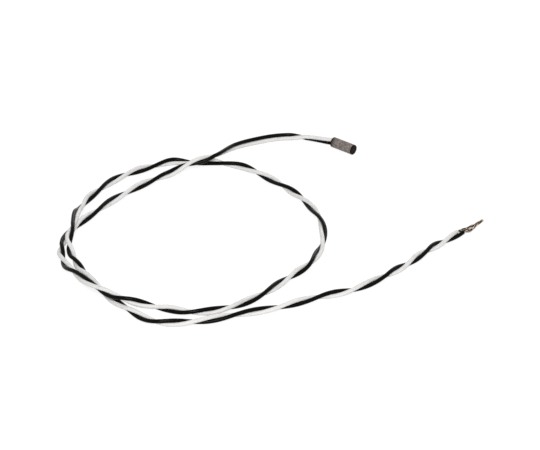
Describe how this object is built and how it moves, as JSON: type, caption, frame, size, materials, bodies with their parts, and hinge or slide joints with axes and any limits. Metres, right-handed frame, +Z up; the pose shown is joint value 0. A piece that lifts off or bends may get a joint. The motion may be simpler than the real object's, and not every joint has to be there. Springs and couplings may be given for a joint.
{
  "type": "resistance temperature detector",
  "caption": "Thin-film resistance temperature detector: a small potted ceramic sleeve on loosely coiled, twisted insulated leads with stripped ends.",
  "frame": {"origin": "under the middle of the ceramic sleeve, on the surface that the sensor and its leads lie on", "axes": "+X along the ceramic sleeve towards its sensing tip, +Z up from the surface"},
  "size_m": [0.0613, 0.0662, 0.003],
  "materials": {
    "sleeve_ceramic": "matt unglazed ceramic, warm grey with a faint mottle",
    "potting": "black epoxy potting, slightly glossy",
    "cement": "set ceramic cement",
    "alumina": "white fired alumina",
    "platinum": "bright thin film",
    "glaze": "thin fired glass",
    "element_wire": "drawn nickel alloy wire",
    "splice_metal": "crimped plated sleeve",
    "strand": "bare plated copper strand, dulled to tan",
    "black_jacket": "black PTFE, satin",
    "white_jacket": "white PTFE, satin"
  },
  "bodies": {
    "root": {"ceramic_sleeve": "sleeve_ceramic", "tip_potting": "potting", "rear_potting": "potting", "core_fill": "cement", "chip_substrate": "alumina", "platinum_track": "platinum", "glaze_cover": "glaze", "lead_bond_glass": "glaze", "element_wire_black": "element_wire", "element_wire_white": "element_wire", "splice_black": "splice_metal", "splice_white": "splice_metal", "conductor_end_black": "strand", "conductor_end_white": "strand", "black_lead": "black_jacket", "white_lead": "white_jacket", "black_strand_1": "strand", "black_strand_2": "strand", "black_strand_3": "strand", "black_strand_4": "strand", "black_strand_5": "strand", "black_strand_6": "strand", "black_strand_7": "strand", "white_strand_1": "strand", "white_strand_2": "strand", "white_strand_3": "strand", "white_strand_4": "strand", "white_strand_5": "strand", "white_strand_6": "strand", "white_strand_7": "strand"}
  },
  "joints": []
}
